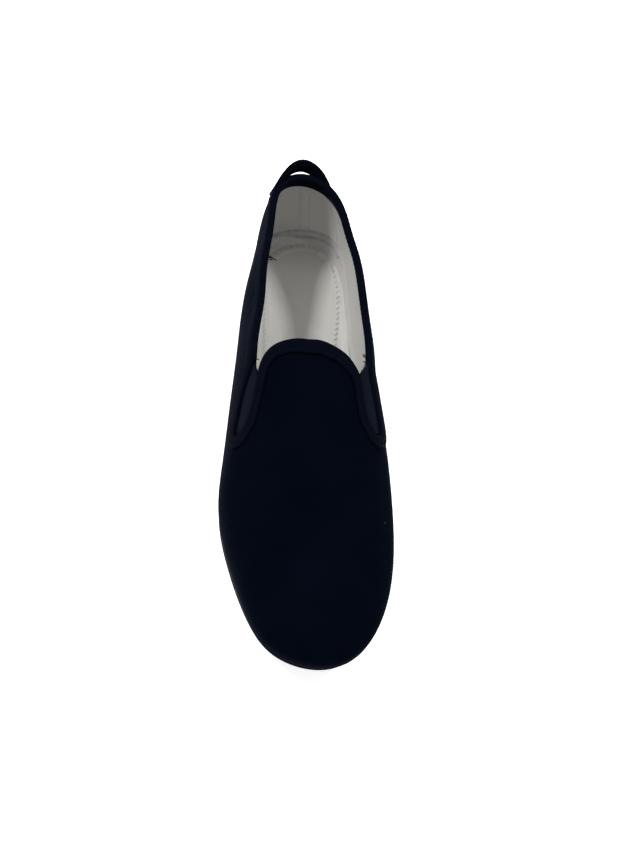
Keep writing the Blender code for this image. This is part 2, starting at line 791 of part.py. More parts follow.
def make_insole(material):
    """Board that closes the bottom of the upper."""
    turn = np.linspace(0, 2 * math.pi, TURNS, endpoint=False)
    plan = sole_line(turn, np.full(TURNS, -WALL - GAP))
    bottom = seat(share_at(plan[:, 1]))
    rings = [np.column_stack([plan, bottom + INSOLE_THICKNESS]), np.column_stack([plan, bottom])]
    return slab("insole", rings, material)


def make_material(name):
    """A plain material in a colour of the shoe."""
    colour, roughness = COLOURS[name]
    material = bpy.data.materials.new(name)
    material.use_nodes = True
    shader = material.node_tree.nodes["Principled BSDF"]
    shader.inputs["Base Color"].default_value = (*colour, 1)
    shader.inputs["Roughness"].default_value = roughness
    shader.inputs["Metallic"].default_value = 0
    return material


def clear_scene():
    """Removes every object of the scene."""
    for body in list(bpy.data.objects):
        bpy.data.objects.remove(body, do_unlink=True)


def main():
    """Makes all pieces of the shoe."""
    clear_scene()
    frame = bpy.data.objects.new("shoe", None)
    bpy.context.scene.collection.objects.link(frame)
    pieces = [
        make_outsole(make_material("dark_rubber")),
        make_insole(make_material("white_lining")),
        make_upper(make_material("navy_cloth")),
        make_binding(make_material("navy_tape")),
        make_gore("gore_medial", 1, make_material("dark_elastic")),
        make_gore("gore_lateral", -1, make_material("dark_elastic")),
        make_loop(make_material("navy_tape")),
    ]
    for piece in pieces:
        piece.parent = frame


main()
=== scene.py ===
"""The looks of a dark cloth slip-on shoe, built around the fixed frame of its solids.

Metres, +Z up, the toe at -Y and the inner side of the foot at +X, as in the frame. Each cloth piece
starts from the solid that it replaces: a face group of that solid is made finer, shaped and given a
thickness, so that it lies where the solid lies.
"""

import math

import bmesh
import bpy
import numpy as np
from mathutils import Matrix, Vector
from mathutils.bvhtree import BVHTree
from mathutils.kdtree import KDTree


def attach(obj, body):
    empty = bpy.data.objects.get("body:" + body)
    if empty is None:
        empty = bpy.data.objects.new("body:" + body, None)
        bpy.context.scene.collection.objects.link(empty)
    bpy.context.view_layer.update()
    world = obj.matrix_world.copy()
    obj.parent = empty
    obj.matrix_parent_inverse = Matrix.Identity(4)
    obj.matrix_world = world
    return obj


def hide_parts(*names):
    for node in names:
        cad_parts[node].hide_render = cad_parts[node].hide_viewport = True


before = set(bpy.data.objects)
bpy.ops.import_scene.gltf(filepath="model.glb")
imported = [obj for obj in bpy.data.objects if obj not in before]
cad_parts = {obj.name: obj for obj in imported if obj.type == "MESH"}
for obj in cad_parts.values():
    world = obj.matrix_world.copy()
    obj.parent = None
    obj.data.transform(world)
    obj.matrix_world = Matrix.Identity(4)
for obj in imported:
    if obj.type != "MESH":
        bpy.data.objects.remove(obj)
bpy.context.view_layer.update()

# Camera, fitted to the photograph's frame of 640 by 855
FRAME_HEIGHT = 855
FOCAL_PIXELS = 1243.3
SENSOR = 36.0
CAMERA_AZIMUTH = math.radians(-20.0)
CAMERA_ELEVATION = math.radians(57.22)
CAMERA_ROLL = math.radians(19.08)
CAMERA_DISTANCE = 0.65
CAMERA_TARGET = Vector((0.0059, -0.1075, 0.0300))

# Light
FLOOR_SIZE = 6.0
WORLD_STRENGTH = 0.50
FLOOR_GLOW = 0.72
LIGHTS = (
    # name, place, size, power
    ("light_left", (-0.82, 0.16, 1.18), 0.20, 12.0),
    ("light_right", (0.76, 0.06, 1.16), 0.20, 9.0),
)

# Cloth
CLOTH_THICKNESS = 0.0009
LINING_THICKNESS = 0.0007
SEAM_THICKNESS = 0.0004
LINING_SHY = 0.0014     # by which the lining stops short of the cloth's lower edge
LINING_SHY_REACH = 0.0060
LINING_WAVES = 0.00018
SHARP = math.radians(50)        # edges sharper than this part a node into its faces
SQUARING = math.radians(40)     # triangles that differ by less than this are joined in pairs
FIRMNESS = 0.75                 # how far sharp edges keep their shape when a piece is made finer
CURVE_STEPS = 16

# Soft creases of the outer cloth: two ends near the surface, half width and depth
CREASES = (
    ((-0.024, -0.118, 0.040), (0.020, -0.122, 0.044), 0.0060, 0.00025),
    ((-0.034, -0.150, 0.026), (0.030, -0.147, 0.032), 0.0075, 0.00030),
    ((-0.026, -0.172, 0.026), (0.026, -0.168, 0.028), 0.0060, 0.00020),
    ((-0.037, -0.100, 0.034), (-0.043, -0.128, 0.020), 0.0050, 0.00030),
    ((0.036, -0.104, 0.034), (0.040, -0.132, 0.020), 0.0050, 0.00030),
    ((-0.027, 0.006, 0.046), (-0.031, -0.040, 0.026), 0.0060, 0.00040),
    ((0.030, 0.002, 0.048), (0.031, -0.046, 0.024), 0.0060, 0.00040),
    ((-0.020, 0.026, 0.034), (0.020, 0.027, 0.030), 0.0050, 0.00025),
)
PUCKER_DEPTH = 0.00022
PUCKER_REACH = 0.0030
PUCKER_PITCH = 0.0068
EDGE_GATHER = 0.00022
EDGE_REACH = 0.0050
EDGE_PITCH = 0.0062

# Stitches
STITCH_PITCH = 0.0030
STITCH_LENGTH = 0.0023
STITCH_RADIUS = 0.00017
OUTER_INSET = 0.0011    # row of stitches from the edge of the tape, outside
INNER_INSET = 0.00088   # and inside
STITCH_STEPS = 7
THREAD_SIDES = 6

# Elastic
RIB_PITCH = 0.00115
RIB_HEIGHT = 0.00013

# Insole
INSOLE_ROWS = 180
INSOLE_COLUMNS = 46
INSOLE_THICKNESS = 0.0012
INSOLE_REACH = 0.0016
COVE = 0.0036
COVE_START = 0.0009     # lining beyond the insole's edge, at the top of the cove
LEAST_ROW = 0.0020      # least width of a row of the insole or the tread, at their ends
SEAM_PATH = (
    (0.0286, -0.1050, 0.014),
    (0.0233, -0.0850, 0.015),
    (0.0205, -0.0640, 0.015),
    (0.0206, -0.0520, 0.0154),
    (0.0214, -0.0414, 0.0154),
    (0.0238, -0.0274, 0.0155),
    (0.0253, -0.0121, 0.0155),
    (0.0252, 0.0038, 0.0157),
    (0.0243, 0.0092, 0.0170),
    (0.0220, 0.0156, 0.0185),
    (0.0176, 0.0209, 0.0178),
    (0.0121, 0.0243, 0.0165),
    (0.0055, 0.0252, 0.0158),
    (-0.0032, 0.0229, 0.0158),
    (-0.0102, 0.0176, 0.0158),
    (-0.0148, 0.0090, 0.0158),
    (-0.0165, -0.0050, 0.0156),
    (-0.0175, -0.0250, 0.0155),
    (-0.0185, -0.0450, 0.0154),
    (-0.0200, -0.0650, 0.0150),
    (-0.0235, -0.0850, 0.0150),
    (-0.0270, -0.1050, 0.0140),
)
SEAM_PITCH = 0.0037
SEAM_STEP = 0.00036     # fineness of the band along the seam
INSOLE_STITCH_RADIUS = 0.00022
SEAM_HALF = 0.0044      # half the width of the band that carries the seam
SEAM_COLUMNS = 33
MARK_RUN = (0.052, 0.105)   # stretch of the seam along which the pencil line shows
MARK_OFFSET = 0.0034

# Seams and folds of the lining, as paths on its inner face
LINE_HALF = 0.0042      # half the width of the band that carries each of them
LINE_COLUMNS = 29
LINE_PITCH = 0.0006
SIDE_PITCH = 0.0008
HEEL_LINES = (
    (-0.0160, 0.0230, 0.0158),
    (-0.0106, 0.0279, 0.0179),
    (-0.0027, 0.0297, 0.0198),
    (0.0061, 0.0288, 0.0227),
    (0.0147, 0.0249, 0.0260),
    (0.0207, 0.0193, 0.0283),
    (0.0233, 0.0152, 0.0284),
    (0.0255, 0.0100, 0.0262),
)
BACK_SEAM = (
    (0.0006, 0.0290, 0.0640),
    (0.0020, 0.0289, 0.0535),
    (0.0038, 0.0296, 0.0415),
    (0.0056, 0.0295, 0.0320),
    (0.0064, 0.0290, 0.0255),
)
HEEL_FOLD = (
    (0.0125, 0.0232, 0.0640),
    (0.0150, 0.0224, 0.0575),
    (0.0179, 0.0211, 0.0500),
    (0.0216, 0.0181, 0.0402),
    (0.0237, 0.0146, 0.0313),
)
SIDE_LINES = (
    (0.0262, 0.0120, 0.0300),
    (0.0271, 0.0049, 0.0283),
    (0.0285, -0.0061, 0.0262),
    (0.0288, -0.0193, 0.0250),
    (0.0289, -0.0331, 0.0243),
    (0.0291, -0.0477, 0.0215),
    (0.0295, -0.0600, 0.0195),
    (0.0300, -0.0750, 0.0185),
)

# Binding and pull loop
TAPE_FULLER = 0.00012   # what the smoothing takes off the binding, and off the loop
LOOP_FULLER = 0.00025
LOOP_CENTRE = 0.004     # place in Y of the middle of the heel, around which the loop bends
LOOP_DRAW = (0.0003, 0.0015)    # by which it is moved in, at its middle and at its ends

# Loose thread ends: place, way, bend, length
RIM_ENDS = (
    ((-0.0228, -0.0215, 0.0612), (1.0, -0.05, 0.10), (0.1, -0.6, -0.8), 0.0052),
    ((-0.0228, -0.0202, 0.0612), (1.0, -0.30, 0.05), (0.1, -0.6, -0.4), 0.0038),
    ((-0.0226, -0.0226, 0.0610), (1.0, 0.10, 0.00), (0.1, -0.3, -0.6), 0.0028),
    ((0.0268, -0.0822, 0.0600), (-1.0, 0.40, 0.20), (0.0, 1.0, 0.0), 0.0024),
    ((0.0269, -0.0830, 0.0600), (-1.0, 0.10, 0.20), (0.0, 1.0, 0.0), 0.0026),
    ((0.0269, -0.0858, 0.0600), (-1.0, -0.10, 0.10), (0.0, 1.0, 0.2), 0.0026),
    ((0.0269, -0.0870, 0.0600), (-1.0, 0.30, 0.20), (0.0, -1.0, 0.0), 0.0022),
    ((-0.0312, -0.0855, 0.0585), (1.0, 0.10, 0.10), (0.0, -1.0, 0.0), 0.0020),
)
RIM_END_RADIUS = 0.00028
SPECK_RADIUS = 0.00024
FRAY_RADIUS = 0.00011
LINT_RADIUS = 0.00012
FRAYS = 11
FRAY_CORNERS = 10       # corners of the elastic among which its top is sought
FRAY_BAND = 0.0085      # below the highest place of an elastic, where its frays may start

# Dark specks on the lining of the heel
SPECKS = (
    ((-0.0024, 0.0283, 0.0172), (1.0, 0.0, 0.2), (0.0, 0.0, 1.0), 0.0007),
    ((-0.0012, 0.0281, 0.0156), (1.0, 0.0, -0.3), (0.0, 0.0, 1.0), 0.0008),
    ((0.0022, 0.0285, 0.0180), (1.0, 0.0, 0.3), (0.0, 0.0, -1.0), 0.0005),
)

# Lint: place, way, length
LINT = (
    ((0.0342, -0.1651, 0.0354), (0.3, 1.0, 0.2), 0.0013),
)

# Sole
TREAD_ROWS = 560
TREAD_COLUMNS = 60
TREAD_THICKNESS = 0.0015
TREAD_INSET = 0.0030
SOLE_UNDERSIDE = 0.0060   # height below which faces that look down belong to the underside
RIPPLE_PITCH = 0.0028
RIPPLE_DEPTH = 0.00035
RIPPLE_BORDER = 0.0090
RIPPLE_CEILING = 0.0035     # no ripples above this height, in the arch and the grooves
RIPPLE_SWAY = 0.0009
RIPPLE_SWAY_PITCH = 0.013


def open_mesh(node):
    """The node's mesh with its double corners joined."""
    bm = bmesh.new()
    bm.from_mesh(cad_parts[node].data)
    bmesh.ops.remove_doubles(bm, verts=bm.verts, dist=1e-6)
    return bm


def face_groups(node):
    """The smooth parts of a node, each as (corners, faces), with the largest area first."""
    bm = open_mesh(node)
    edges = [e for e in bm.edges if len(e.link_faces) == 2 and e.calc_face_angle() > SHARP]
    bmesh.ops.split_edges(bm, edges=edges)
    bm.verts.index_update()
    seen = set()
    groups = []
    for start in bm.faces:
        if start in seen:
            continue
        seen.add(start)
        stack = [start]
        faces = []
        while stack:
            face = stack.pop()
            faces.append(face)
            for edge in face.edges:
                for other in edge.link_faces:
                    if other not in seen:
                        seen.add(other)
                        stack.append(other)
        corners = sorted({v.index for f in faces for v in f.verts})
        number = {v: i for i, v in enumerate(corners)}
        bm.verts.ensure_lookup_table()
        points = [tuple(bm.verts[v].co) for v in corners]
        area = sum(f.calc_area() for f in faces)
        groups.append((area, points, [[number[v.index] for v in f.verts] for f in faces]))
    bm.free()
    groups.sort(key=lambda g: -g[0])
    return [(points, faces) for _, points, faces in groups]


def rims(points, faces):
    """The open edges of a sheet as closed paths, each in the order of its faces."""
    steps = {}
    pairs = {(a, b) for face in faces for a, b in zip(face, face[1:] + face[:1])}
    for a, b in sorted(pairs):
        if (b, a) not in pairs:
            steps[a] = b
    paths = []
    while steps:
        start = min(steps)
        path = [start]
        here = steps.pop(start)
        while here != start:
            path.append(here)
            here = steps.pop(here)
        paths.append(np.array([points[i] for i in path]))
    return paths


def piece_from(name, points, faces):
    """A new mesh object in the scene."""
    mesh = bpy.data.meshes.new(name)
    mesh.from_pydata([tuple(map(float, p)) for p in points], [], [tuple(map(int, f)) for f in faces])
    mesh.validate()
    mesh.update()
    piece = bpy.data.objects.new(name, mesh)
    bpy.context.scene.collection.objects.link(piece)
    mesh.shade_smooth()
    return piece


def square_faces(piece):
    """Joins pairs of triangles into four-sided faces, and marks the sharp edges to stay firm."""
    bm = bmesh.new()
    bm.from_mesh(piece.data)
    limits = {"angle_face_threshold": SQUARING, "angle_shape_threshold": SQUARING}
    bmesh.ops.join_triangles(bm, faces=bm.faces, **limits)
    firm = bm.edges.layers.float.new("crease_edge")
    for edge in bm.edges:
        if len(edge.link_faces) == 2 and edge.calc_face_angle() > SHARP:
            edge[firm] = FIRMNESS
    bm.to_mesh(piece.data)
    bm.free()


def apply_modifiers(piece):
    """Keeps the piece's evaluated mesh and drops its modifiers."""
    graph = bpy.context.evaluated_depsgraph_get()
    mesh = bpy.data.meshes.new_from_object(piece.evaluated_get(graph))
    piece.modifiers.clear()
    piece.data = mesh
    mesh.shade_smooth()


def subdivided(piece, levels):
    """Makes the piece finer by smooth subdivision."""
    step = piece.modifiers.new("finer", "SUBSURF")
    step.levels = levels
    step.render_levels = levels
    apply_modifiers(piece)


def coordinates(piece):
    """Corners and their normals as arrays."""
    mesh = piece.data
    points = np.zeros(len(mesh.vertices) * 3)
    mesh.vertices.foreach_get("co", points)
    normals = np.zeros(len(mesh.vertices) * 3)
    mesh.vertex_normals.foreach_get("vector", normals)
    return points.reshape(-1, 3), normals.reshape(-1, 3)


def set_points(piece, points):
    """Moves the corners of a piece."""
    piece.data.vertices.foreach_set("co", np.asarray(points, float).ravel())
    piece.data.update()


def thicken(piece, thickness, offset):
    """Gives a sheet its thickness: offset -1 is below its face, 1 above."""
    step = piece.modifiers.new("thickness", "SOLIDIFY")
    step.thickness = thickness
    step.offset = offset
    apply_modifiers(piece)


def unit(vectors):
    """The same directions with a length of one."""
    return vectors / np.maximum(np.linalg.norm(vectors, axis=-1, keepdims=True), 1e-12)


def travel_along(path):
    """Distance along a path to each of its places."""
    return np.concatenate([[0], np.cumsum(np.linalg.norm(np.diff(path, axis=0), axis=1))])


def read_at(marks, travel, values):
    """Places or directions that go with a path, read at some distances along it."""
    return np.column_stack([np.interp(marks, travel, values[:, k]) for k in range(3)])


def even(path, pitch):
    """Evenly spaced places along a path."""
    travel = travel_along(path)
    count = max(2, round(travel[-1] / pitch))
    return read_at(np.linspace(0, travel[-1], count + 1), travel, path)


def smooth_path(points, pitch):
    """Evenly spaced places on a smooth curve through some points."""
    points = np.asarray(points, float)
    points = np.vstack([2 * points[0] - points[1], points, 2 * points[-1] - points[-2]])
    t = np.linspace(0, 1, CURVE_STEPS, endpoint=False)[:, None]
    parts = []
    for a, b, c, d in zip(points, points[1:], points[2:], points[3:]):
        line = 2 * b + (c - a) * t
        bend = (2 * a - 5 * b + 4 * c - d) * t ** 2 + (3 * b - a - 3 * c + d) * t ** 3
        parts.append((line + bend) / 2)
    return even(np.vstack(parts + [points[-2][None]]), pitch)


def tree_of(points, faces):
    """A search tree over some faces."""
    return BVHTree.FromPolygons([tuple(map(float, p)) for p in points], [tuple(f) for f in faces])


def surface_tree(*pieces):
    """A search tree over the faces of some pieces."""
    points = []
    faces = []
    for piece in pieces:
        shift = len(points)
        points += [tuple(v.co) for v in piece.data.vertices]
        faces += [[v + shift for v in f.vertices] for f in piece.data.polygons]
    return tree_of(points, faces)


def on_surface(tree, places):
    """Nearest places on a surface, and the directions out of it there."""
    found = [tree.find_nearest(Vector(place)) for place in places]
    return np.array([f[0] for f in found]), np.array([f[1] for f in found])


def run_of(path):
    """Direction of an open path at each of its places."""
    return unit(np.gradient(path, axis=0))


def beside(tree, path, distance):
    """A closed path moved along a surface by a distance, to the left of its run."""
    steps = 3
    run = unit(np.roll(path, -1, axis=0) - np.roll(path, 1, axis=0))
    moved, normal = on_surface(tree, path)
    for _ in range(steps):
        left = unit(np.cross(normal, run))
        moved, normal = on_surface(tree, moved + left * distance / steps)
    return moved, normal


def line_tree(line, flat=False):
    """Even places along a closed line, and a search tree over them or over their plan."""
    line = even(np.vstack([line, line[:1]]), 0.001)
    tree = KDTree(len(line))
    for i, place in enumerate(line):
        tree.insert(place * (1, 1, 0) if flat else place, i)
    tree.balance()
    return line, tree


def strip(name, tree, path, offsets, height):
    """A narrow band on a surface along a path. Its height at a place is given by a function of
    the distance across and the distance along, and its long edges dip under the surface."""
    spot, normal = on_surface(tree, path)
    side = unit(np.cross(normal, run_of(path)))
    travel = travel_along(path)
    places = (spot[:, None] + side[:, None] * np.asarray(offsets)[None, :, None]).reshape(-1, 3)
    places, normal = on_surface(tree, places)
    across = np.tile(offsets, len(path))
    along = np.repeat(travel, len(offsets))
    places = places + normal * height(across, along)[:, None]
    wide = len(offsets)
    faces = grid_faces(len(path), wide)
    piece = piece_from(name, places, faces)
    first = np.array(piece.data.polygons[len(faces) // 2].normal)
    if np.dot(first, normal[faces[len(faces) // 2][0]]) < 0:
        piece.data.flip_normals()
    return piece, across, along


def grid_faces(rows, columns):
    """Faces of a grid of places, row by row."""
    faces = []
    for i in range(rows - 1):
        for k in range(columns - 1):
            a = i * columns + k
            faces.append((a, a + 1, a + columns + 1, a + columns))
    return faces


def bell(value, middle, width):
    """A soft hump of height one."""
    return np.exp(-((value - middle) / width) ** 2)


def smooth(start, end, value):
    """Rises softly from 0 at the start to 1 at the end."""
    share = np.clip((value - start) / (end - start), 0, 1)
    return share * share * (3 - 2 * share)


def paint(piece, name, values):
    """Stores a number from 0 to 1 at each corner, for the material to read."""
    layer = piece.data.attributes.new(name, "FLOAT", "POINT")
    layer.data.foreach_set("value", np.clip(values, 0, 1).astype(np.float32))


def thread(path, radius):
    """Corners and faces of a round thread along a path, with rounded ends."""
    path = np.asarray(path, float)
    run = run_of(path)
    aside = unit(np.cross(run, (0.31, 0.17, 0.93)))
    above = np.cross(run, aside)
    sides = THREAD_SIDES
    angles = (np.arange(sides) * 2 * math.pi / sides)[None, :, None]
    taper = np.full(len(path), float(radius))
    taper[[0, -1]] *= 0.45
    ring = aside[:, None] * np.cos(angles) + above[:, None] * np.sin(angles)
    points = (path[:, None] + ring * taper[:, None, None]).reshape(-1, 3)
    faces = []
    for i in range(len(path) - 1):
        for k in range(sides):
            n = (k + 1) % sides
            faces.append((i * sides + k, i * sides + n, (i + 1) * sides + n, (i + 1) * sides + k))
    faces.append(tuple(reversed(range(sides))))
    faces.append(tuple((len(path) - 1) * sides + k for k in range(sides)))
    return points, faces


def threads(name, paths, radius):
    """One piece made of many separate threads."""
    points = []
    faces = []
    shift = 0
    for path in paths:
        more, sides = thread(path, radius)
        points.append(more)
        faces += [tuple(v + shift for v in f) for f in sides]
        shift += len(more)
    piece = piece_from(name, np.vstack(points), faces)
    bm = bmesh.new()
    bm.from_mesh(piece.data)
    bmesh.ops.recalc_face_normals(bm, faces=bm.faces)
    bm.to_mesh(piece.data)
    bm.free()
    return piece


def finish_piece(piece, material, slot, *nodes):
    """Material, body and the solids that the piece stands for. The slot is not used."""
    piece.data.materials.clear()
    piece.data.materials.append(material)
    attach(piece, "root")
    if nodes:
        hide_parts(*nodes)
    return piece


class Shades:
    """A node material built up step by step around one Principled shader."""

    def __init__(self, name, roughness):
        self.material = bpy.data.materials.new(name)
        self.material.use_nodes = True
        self.tree = self.material.node_tree
        self.shader = self.tree.nodes["Principled BSDF"]
        self.shader.inputs["Roughness"].default_value = roughness
        self.place = self.tree.nodes.new("ShaderNodeTexCoord").outputs["Object"]
        self.height = None

    def node(self, kind, **values):
        """A new node with some of its settings."""
        made = self.tree.nodes.new(kind)
        for key, value in values.items():
            setattr(made, key, value)
        return made

    def link(self, start, end):
        """Joins an output to an input."""
        self.tree.links.new(start, end)

    def noise(self, scale, detail=3.0, stretch=(1, 1, 1), distortion=0.0):
        """Soft noise, fixed to the piece."""
        mapping = self.node("ShaderNodeMapping")
        mapping.inputs["Scale"].default_value = stretch
        self.link(self.place, mapping.inputs["Vector"])
        noise = self.node("ShaderNodeTexNoise")
        noise.inputs["Scale"].default_value = scale
        noise.inputs["Detail"].default_value = detail
        noise.inputs["Distortion"].default_value = distortion
        self.link(mapping.outputs["Vector"], noise.inputs["Vector"])
        return noise.outputs["Fac"]

    def wave(self, scale, direction="X", distortion=0.0, turn=(0, 0, 0)):
        """Even bands, fixed to the piece."""
        mapping = self.node("ShaderNodeMapping")
        mapping.inputs["Rotation"].default_value = turn
        self.link(self.place, mapping.inputs["Vector"])
        wave = self.node("ShaderNodeTexWave", bands_direction=direction)
        wave.inputs["Scale"].default_value = scale
        wave.inputs["Distortion"].default_value = distortion
        self.link(mapping.outputs["Vector"], wave.inputs["Vector"])
        return wave.outputs["Fac"]

    def painted(self, name):
        """A number that was stored at the corners of the piece, or 0 where none was."""
        return self.node("ShaderNodeAttribute", attribute_name=name).outputs["Fac"]

    def math(self, operation, a, b):
        """One sum of two values."""
        made = self.node("ShaderNodeMath", operation=operation)
        for socket, value in zip(made.inputs, (a, b)):
            if isinstance(value, (int, float)):
                socket.default_value = value
            else:
                self.link(value, socket)
        return made.outputs[0]

    def ramp(self, value, *stops):
        """Colours by value, from (value, colour) stops."""
        ramp = self.node("ShaderNodeValToRGB")
        elements = ramp.color_ramp.elements
        while len(elements) < len(stops):
            elements.new(0.5)
        for element, (position, colour) in zip(elements, stops):
            element.position = position
            element.color = (*colour, 1)
        self.link(value, ramp.inputs["Fac"])
        return ramp.outputs["Color"]

    def mix(self, share, a, b):
        """A mix of two colours by a share."""
        made = self.node("ShaderNodeMix", data_type="RGBA")
        for key, value in (("A", a), ("B", b)):
            socket = next(s for s in made.inputs if s.name == key and s.type == "RGBA")
            if isinstance(value, tuple):
                socket.default_value = (*value, 1)
            else:
                self.link(value, socket)
        factor = made.inputs[0]
        if isinstance(share, (int, float)):
            factor.default_value = share
        else:
            self.link(share, factor)
        return next(s for s in made.outputs if s.type == "RGBA")

    def colour(self, socket):
        """Sets the colour of the surface."""
        self.link(socket, self.shader.inputs["Base Color"])

    def bump(self, height, distance, strength):
        """Adds fine relief to what is there already."""
        made = self.node("ShaderNodeBump")
        made.inputs["Strength"].default_value = strength
        made.inputs["Distance"].default_value = distance
        self.link(height, made.inputs["Height"])
        if self.height is not None:
            self.link(self.height, made.inputs["Normal"])
        self.height = made.outputs["Normal"]
        self.link(self.height, self.shader.inputs["Normal"])

    def sheen(self, weight, roughness, tint):
        """Sets the soft light of the nap."""
        self.shader.inputs["Sheen Weight"].default_value = weight
        self.shader.inputs["Sheen Roughness"].default_value = roughness
        self.shader.inputs["Sheen Tint"].default_value = (*tint, 1)

    def gloss(self, level):
        """Sets how much light the surface mirrors."""
        self.shader.inputs["Specular IOR Level"].default_value = level


def navy_cloth():
    """Brushed cotton, so dark a navy that only its nap shows the light."""
    shades = Shades("navy_cloth", 0.95)
    patches = shades.noise(34, 5)
    dark = shades.ramp(patches, (0.36, (0.0007, 0.0016, 0.0044)), (0.68, (0.0011, 0.0022, 0.0060)))
    fibre = shades.ramp(shades.noise(1500, 2, (1, 3, 1)), (0.55, (0, 0, 0)), (0.75, (1, 1, 1)))
    shades.colour(shades.mix(shades.math("MULTIPLY", fibre, 0.25), dark, (0.0022, 0.0032, 0.0072)))
    shades.sheen(0.022, 0.30, (0.40, 0.56, 1.0))
    shades.gloss(0.010)
    shades.bump(shades.noise(60, 3), 0.0004, 0.12)
    shades.bump(shades.wave(520, "DIAGONAL", 1.5), 0.00012, 0.35)
    shades.bump(shades.noise(1400, 3), 0.00020, 0.55)
    return shades.material


def navy_tape():
    """Woven tape cut on the bias."""
    shades = Shades("navy_tape", 0.85)
    patches = shades.noise(180, 3)
    base = shades.ramp(patches, (0.3, (0.0011, 0.0019, 0.0050)), (0.7, (0.0018, 0.0027, 0.0066)))
    ribs = shades.wave(430, "DIAGONAL", 0.4)
    shades.colour(shades.mix(shades.math("MULTIPLY", ribs, 0.35), base, (0.0027, 0.0038, 0.0080)))
    shades.sheen(0.024, 0.30, (0.45, 0.62, 1.0))
    shades.gloss(0.012)
    shades.bump(ribs, 0.00016, 0.7)
    shades.bump(shades.wave(430, "DIAGONAL", 0.4, (0, 0, math.pi / 2)), 0.00012, 0.5)
    shades.bump(shades.noise(1300, 2), 0.0001, 0.5)
    return shades.material


def navy_thread():
    """Dark sewing thread, a little glossier than the cloth."""
    shades = Shades("navy_thread", 0.6)
    fibre = shades.noise(900, 2)
    shades.colour(shades.ramp(fibre, (0.3, (0.0012, 0.0021, 0.0048)), (0.7, (0.0022, 0.0034, 0.0070))))
    shades.gloss(0.04)
    shades.bump(shades.wave(2600, "DIAGONAL"), 0.00005, 0.6)
    return shades.material


def white_thread():
    """Undyed cotton thread."""
    shades = Shades("white_thread", 0.8)
    fibre = shades.noise(800, 2)
    shades.colour(shades.ramp(fibre, (0.3, (0.50, 0.50, 0.48)), (0.7, (0.60, 0.60, 0.58))))
    shades.gloss(0.2)
    shades.bump(shades.wave(2600, "DIAGONAL"), 0.00005, 0.6)
    return shades.material


def pale_lint():
    """Loose pale fibre."""
    shades = Shades("pale_lint", 0.9)
    fibre = shades.noise(900, 2)
    shades.colour(shades.ramp(fibre, (0.3, (0.030, 0.034, 0.045)), (0.7, (0.050, 0.054, 0.066))))
    return shades.material


def white_lining():
    """Off-white cotton twill, a little uneven all over, with painted shade at the heel and along its
    seams and folds.
    """
    shades = Shades("white_lining", 0.9)
    patches = shades.noise(20, 5)
    base = shades.ramp(patches, (0.30, (0.565, 0.555, 0.525)), (0.72, (0.640, 0.635, 0.610)))
    yarn = shades.wave(420, "DIAGONAL", 0.6)
    base = shades.mix(shades.math("MULTIPLY", yarn, 0.22), base, (0.50, 0.495, 0.48))
    flecks = shades.ramp(shades.noise(330, 3), (0.70, (0, 0, 0)), (0.80, (1, 1, 1)))
    base = shades.mix(shades.math("MULTIPLY", flecks, 0.25), base, (0.40, 0.39, 0.37))
    # Bluish colour of the painted shade: around the heel, in the furrows of seams and folds, and under
    # the insole's stitches
    base = shades.mix(shades.painted("painted_shade"), base, (0.125, 0.133, 0.178))
    shades.colour(shades.mix(shades.painted("pink"), base, (0.74, 0.40, 0.32)))
    shades.sheen(0.05, 0.5, (1, 1, 1))
    shades.gloss(0.15)
    shades.bump(yarn, 0.00012, 0.5)
    shades.bump(shades.wave(420, "DIAGONAL", 0.6, (0, 0, math.pi / 2)), 0.00008, 0.4)
    shades.bump(shades.noise(110, 4), 0.0005, 0.18)
    shades.bump(shades.noise(900, 2), 0.00012, 0.4)
    return shades.material


def dark_elastic():
    """Ribbed elastic: rubber cores under a thin dark covering."""
    shades = Shades("dark_elastic", 0.8)
    patches = shades.noise(120, 3)
    base = shades.ramp(patches, (0.3, (0.0022, 0.0036, 0.0086)), (0.7, (0.0034, 0.0050, 0.0114)))
    shades.colour(shades.mix(shades.painted("rib"), base, (0.0054, 0.0072, 0.0145)))
    shades.sheen(0.015, 0.35, (0.6, 0.75, 1.0))
    shades.gloss(0.03)
    shades.bump(shades.wave(900, "Y", 0.3), 0.0001, 0.4)
    shades.bump(shades.noise(1200, 2), 0.0001, 0.5)
    return shades.material


def dark_rubber():
    """Moulded rubber with a fine grain and a little dust."""
    shades = Shades("dark_rubber", 0.62)
    patches = shades.noise(55, 4)
    base = shades.ramp(patches, (0.3, (0.0024, 0.0027, 0.0038)), (0.7, (0.0042, 0.0045, 0.0058)))
    dust = shades.ramp(shades.noise(24, 6), (0.60, (0, 0, 0)), (0.85, (1, 1, 1)))
    shades.colour(shades.mix(shades.math("MULTIPLY", dust, 0.08), base, (0.040, 0.038, 0.036)))
    rough = shades.ramp(shades.noise(240, 3), (0.3, (0.52, 0.52, 0.52)), (0.7, (0.72, 0.72, 0.72)))
    shades.link(rough, shades.shader.inputs["Roughness"])
    shades.gloss(0.05)
    shades.bump(shades.noise(1500, 3), 0.00010, 0.55)
    return shades.material


def pale_floor():
    """Plain white paper."""
    shades = Shades("pale_floor", 0.9)
    shades.colour(shades.ramp(shades.noise(3, 2), (0.3, (0.93, 0.93, 0.93)), (0.7, (0.94, 0.94, 0.94))))
    shades.shader.inputs["Emission Color"].default_value = (1, 1, 1, 1)
    shades.shader.inputs["Emission Strength"].default_value = FLOOR_GLOW
    return shades.material


def tape_edge():
    """A search tree over the tape's face, and the lines of its edges outside and inside the shoe."""
    points, faces = face_groups("binding")[0]
    lines = sorted(rims(points, faces), key=lambda line: -travel_along(line)[-1])
    return tree_of(points, faces), lines[0], lines[1]


def lowest_rim(points, faces):
    """The lowest of a sheet's open edges."""
    return min(rims(points, faces), key=lambda line: line[:, 2].mean())


